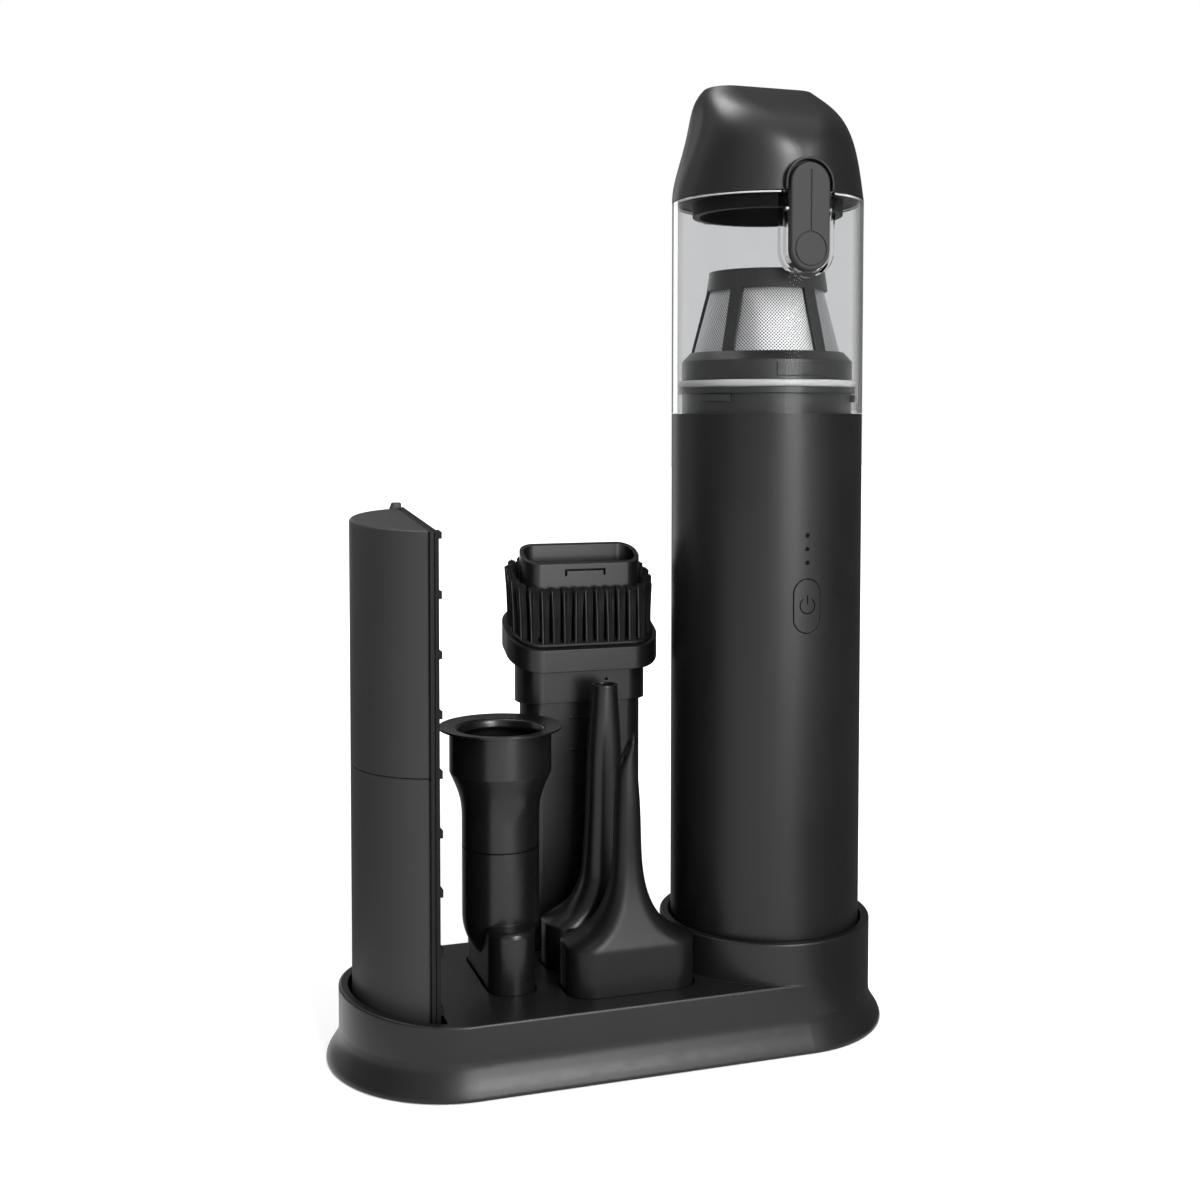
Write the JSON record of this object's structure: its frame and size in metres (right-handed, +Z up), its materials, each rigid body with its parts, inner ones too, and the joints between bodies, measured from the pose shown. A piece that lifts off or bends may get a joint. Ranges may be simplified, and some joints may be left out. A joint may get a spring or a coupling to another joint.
{
  "type": "mini vacuum cleaner",
  "caption": "Cordless mini vacuum with a clear dust cup and hooded nozzle cap, standing in a flared storage dock with crevice, blower, flange, brush and floor tools.",
  "frame": {"origin": "middle of the dock's footprint, on the surface it stands on", "axes": "+X along the dock towards the vacuum, +Y to the back, +Z up"},
  "size_m": [0.1922, 0.0806, 0.3193],
  "materials": {
    "dock_plastic": "satin moulded plastic",
    "rubber": "matt rubber",
    "screw_steel": "zinc plated",
    "body_plastic": "satin moulded plastic",
    "tool_plastic": "satin moulded plastic",
    "grey_plastic": "satin moulded plastic",
    "clear_plastic": "clear polycarbonate",
    "seal_silicone": "soft silicone",
    "mesh_steel": "woven wire",
    "filter_paper": "pleated filter paper",
    "foam": "open foam",
    "cell_wrap": "shrink wrapped cell",
    "board": "circuit board",
    "motor_steel": "plated steel",
    "bristle": "nylon strands"
  },
  "bodies": {
    "dock": {"dock_shell": "dock_plastic", "dock_base_plate": "dock_plastic", "dock_feet": "rubber", "dock_screws": "screw_steel"},
    "vacuum": {"body_shell": "body_plastic", "tail_cap": "body_plastic", "tail_screws": "screw_steel", "exhaust_foam": "foam", "battery_cells": "cell_wrap", "battery_tray_lower": "body_plastic", "battery_tray_upper": "body_plastic", "charge_inlet": "motor_steel", "charge_board": "board", "motor_cradle": "body_plastic", "motor_can": "motor_steel", "motor_magnets": "motor_steel", "motor_damper": "rubber", "motor_mount": "body_plastic", "fan_shroud": "body_plastic", "control_board": "board", "push_switch": "board", "light_chips": "board", "light_pipes": "clear_plastic", "neck_collar": "body_plastic", "seal_ring": "seal_silicone"},
    "button": {"power_button": "body_plastic"},
    "rotor": {"motor_shaft": "screw_steel", "motor_armature": "motor_steel", "fan_impeller": "body_plastic"},
    "filter": {"filter_frame": "body_plastic", "filter_mesh": "mesh_steel", "inner_filter": "filter_paper"},
    "cup": {"dust_cup": "clear_plastic", "hinge_pin": "screw_steel", "latch_pin": "screw_steel"},
    "cap": {"nozzle_cap": "body_plastic", "cap_gasket": "rubber"},
    "latch": {"latch_lever": "grey_plastic"},
    "brush_tool": {"brush_tube": "tool_plastic"},
    "brush_slider": {"brush_carrier": "tool_plastic", "brush_bristles": "bristle"},
    "flange_tool": {"flange_nozzle_upper": "tool_plastic", "flange_nozzle_lower": "tool_plastic"},
    "blower_tool": {"blower_nozzle": "tool_plastic"},
    "oblique_tool": {"oblique_nozzle": "tool_plastic"},
    "floor_head": {"head_shell_lower": "tool_plastic", "head_shell_upper": "tool_plastic", "head_sole_strip": "grey_plastic", "head_sole_pad": "rubber"}
  },
  "joints": [
    {"name": "vacuum_lift", "type": "slide", "parent": "dock", "child": "vacuum", "axis": [0, 0, 1], "range_m": [0, 0.06]},
    {"name": "power_press", "type": "slide", "parent": "vacuum", "child": "button", "axis": [0, 1, 0], "range_m": [0, 0.0008], "stiffness_N_per_m": 900},
    {"name": "fan_spin", "type": "hinge", "parent": "vacuum", "child": "rotor", "pos_m": [0.05585, 0, 0.15], "axis": [0, 0, 1], "continuous": true},
    {"name": "filter_pull", "type": "slide", "parent": "vacuum", "child": "filter", "axis": [0, 0, 1], "range_m": [0, 0.012]},
    {"name": "cup_twist", "type": "hinge", "parent": "vacuum", "child": "cup", "pos_m": [0.05585, 0, 0.24], "axis": [0, 0, 1], "range_deg": [0, 20]},
    {"name": "cap_open", "type": "hinge", "parent": "cup", "child": "cap", "pos_m": [0.05585, 0.0357, 0.2799], "axis": [-1, 0, 0], "range_deg": [0, 100]},
    {"name": "latch_press", "type": "hinge", "parent": "cup", "child": "latch", "pos_m": [0.05585, -0.0309, 0.274], "axis": [1, 0, 0], "range_deg": [0, 4], "stiffness_Nm_per_rad": 0.6},
    {"name": "brush_lift", "type": "slide", "parent": "dock", "child": "brush_tool", "axis": [0, 0, 1], "range_m": [0, 0.04]},
    {"name": "brush_slide", "type": "slide", "parent": "brush_tool", "child": "brush_slider", "axis": [0, 0, 1], "range_m": [0, 0.011]},
    {"name": "flange_lift", "type": "slide", "parent": "dock", "child": "flange_tool", "axis": [0, 0, 1], "range_m": [0, 0.0125]},
    {"name": "blower_lift", "type": "slide", "parent": "dock", "child": "blower_tool", "axis": [0, 0, 1], "range_m": [0, 0.04]},
    {"name": "oblique_lift", "type": "slide", "parent": "dock", "child": "oblique_tool", "axis": [0, 0, 1], "range_m": [0, 0.04]},
    {"name": "floor_head_lift", "type": "slide", "parent": "dock", "child": "floor_head", "axis": [0, 0, 1], "range_m": [0, 0.04]}
  ]
}
